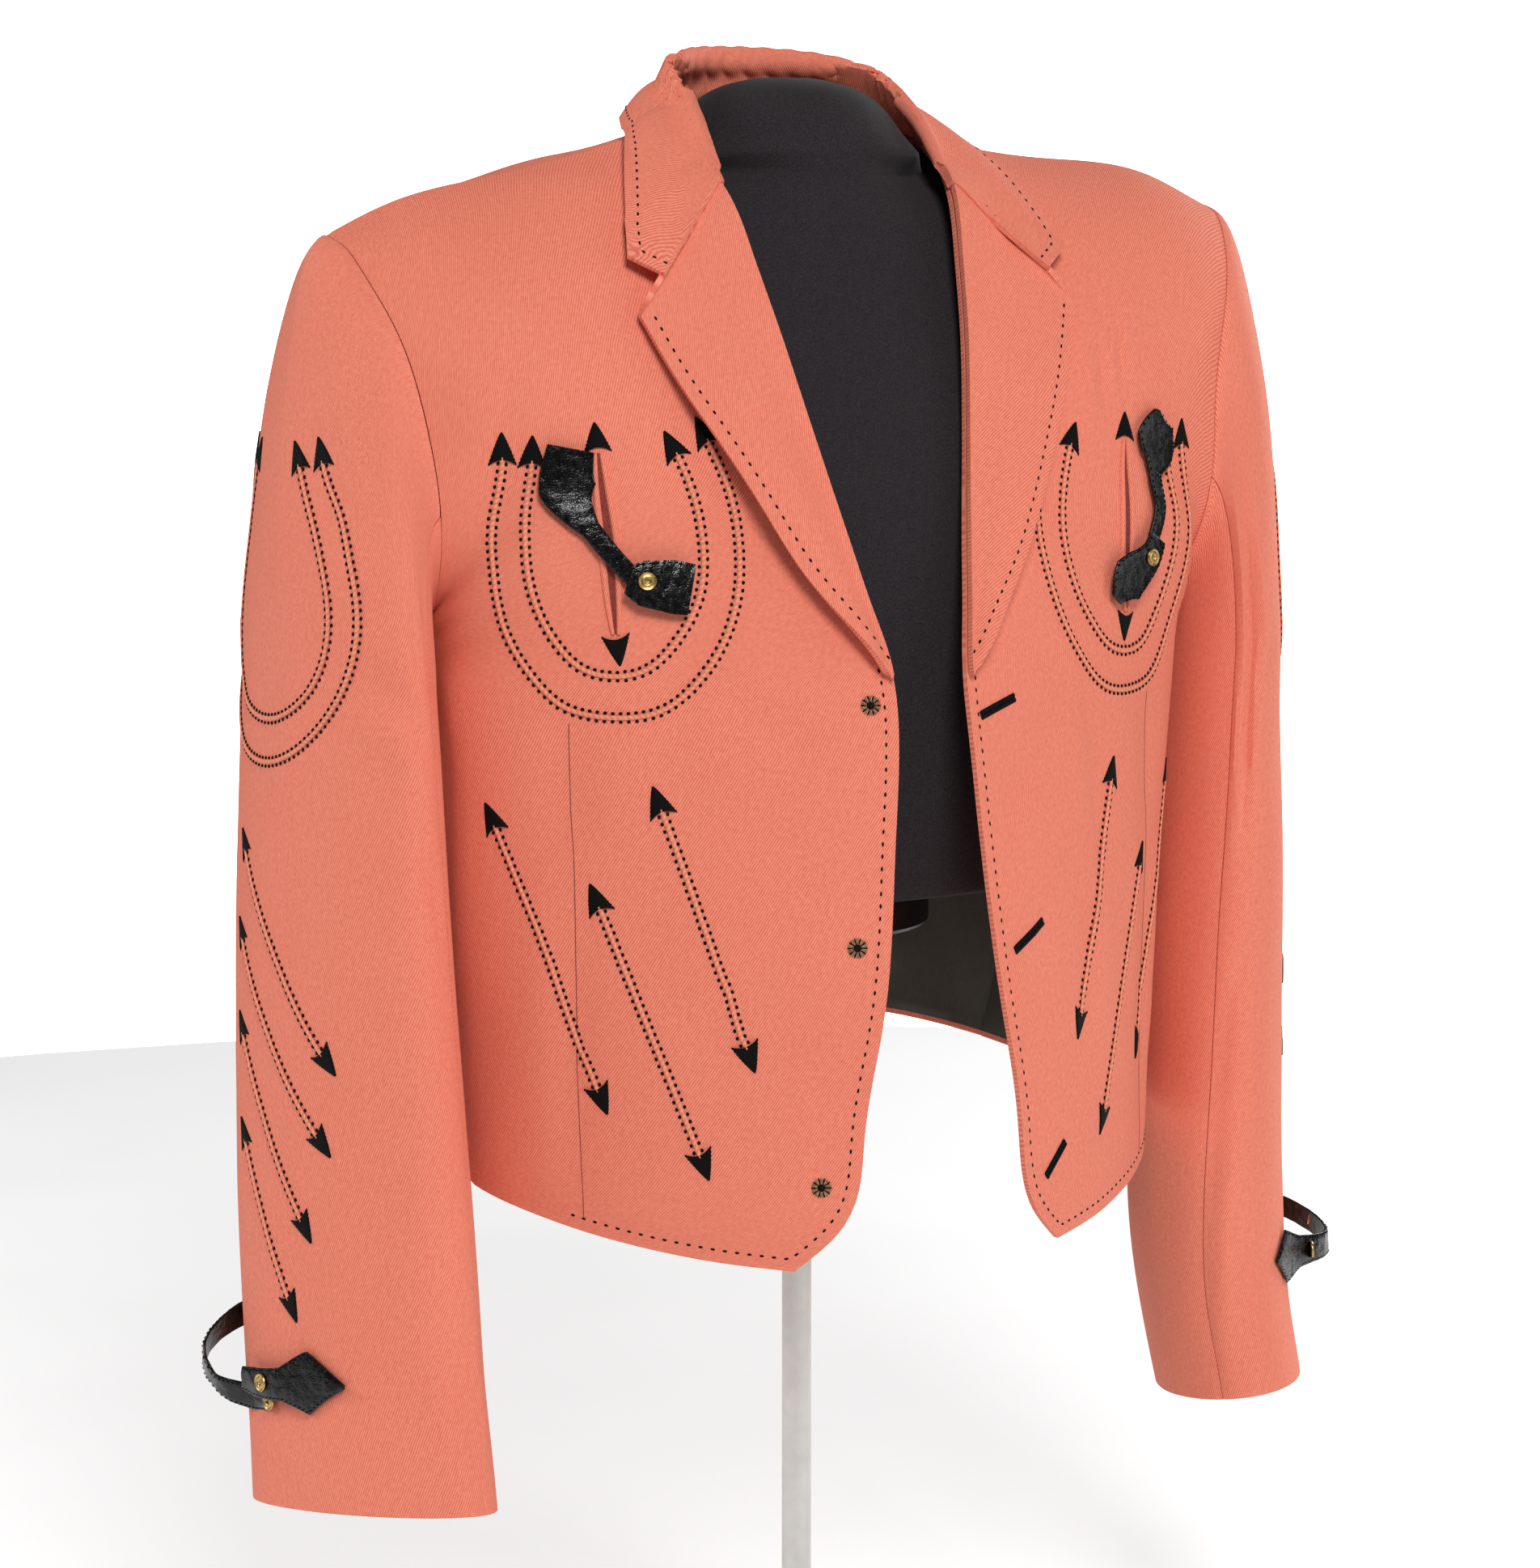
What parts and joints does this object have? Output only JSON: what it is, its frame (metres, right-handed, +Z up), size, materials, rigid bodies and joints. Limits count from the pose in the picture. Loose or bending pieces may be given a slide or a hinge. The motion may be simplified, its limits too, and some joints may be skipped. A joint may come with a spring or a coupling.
{
  "type": "bolero jacket on a dress form",
  "caption": "Short tailored jacket with a notched lapel collar, corded horseshoes and arrows and leather snap tabs, worn open on a limbless dress form with a pole stand.",
  "frame": {"origin": "centre of the round base's flat underside, on the pole's axis", "axes": "+Z up, -Y the way the jacket faces, +X its wearer's left side"},
  "size_m": [0.6106, 0.32, 0.8608],
  "materials": {
    "gabardine": "coral twill with a soft sheen",
    "stitching": "black thread, satin stitched",
    "leather": "black grained, half gloss",
    "snap_brass": "worn satin",
    "lining_cloth": "dark olive satin weave",
    "form_jersey": "charcoal jersey, matt",
    "plug_plastic": "black, moulded",
    "stand_paint": "pale warm grey, satin"
  },
  "bodies": {
    "root": {"back": "gabardine", "chest_keeper_left": "leather", "chest_keeper_right": "leather", "chest_snap_left": "snap_brass", "chest_snap_right": "snap_brass", "chest_strap_left": "leather", "chest_strap_right": "leather", "collar": "gabardine", "cuff_loop_left": "leather", "cuff_loop_right": "leather", "cuff_snap_left": "snap_brass", "cuff_snap_right": "snap_brass", "cuff_tab_left": "leather", "cuff_tab_right": "leather", "dress_form": "form_jersey", "form_plug": "plug_plastic", "front_arrow_left_1": "stitching", "front_arrow_left_2": "stitching", "front_arrow_left_3": "stitching", "front_arrow_right_1": "stitching", "front_arrow_right_2": "stitching", "front_arrow_right_3": "stitching", "front_left": "gabardine", "front_right": "gabardine", "horseshoe_left_inner": "stitching", "horseshoe_left_outer": "stitching", "horseshoe_right_inner": "stitching", "horseshoe_right_outer": "stitching", "lapel_left": "gabardine", "lapel_right": "gabardine", "lining_back": "lining_cloth", "lining_front_left": "lining_cloth", "lining_front_right": "lining_cloth", "pocket_arrow_left_bottom": "stitching", "pocket_arrow_left_top": "stitching", "pocket_arrow_right_bottom": "stitching", "pocket_arrow_right_top": "stitching", "pocket_welt_left_inner": "gabardine", "pocket_welt_left_outer": "gabardine", "pocket_welt_right_inner": "gabardine", "pocket_welt_right_outer": "gabardine", "sleeve_arrow_left_1": "stitching", "sleeve_arrow_left_2": "stitching", "sleeve_arrow_left_3": "stitching", "sleeve_arrow_left_4": "stitching", "sleeve_arrow_right_1": "stitching", "sleeve_arrow_right_2": "stitching", "sleeve_arrow_right_3": "stitching", "sleeve_arrow_right_4": "stitching", "sleeve_horseshoe_left_inner": "stitching", "sleeve_horseshoe_left_outer": "stitching", "sleeve_horseshoe_right_inner": "stitching", "sleeve_horseshoe_right_outer": "stitching", "sleeve_left_top": "gabardine", "sleeve_left_under": "gabardine", "sleeve_right_top": "gabardine", "sleeve_right_under": "gabardine", "stand_base": "stand_paint", "stand_pole": "stand_paint"}
  },
  "joints": []
}
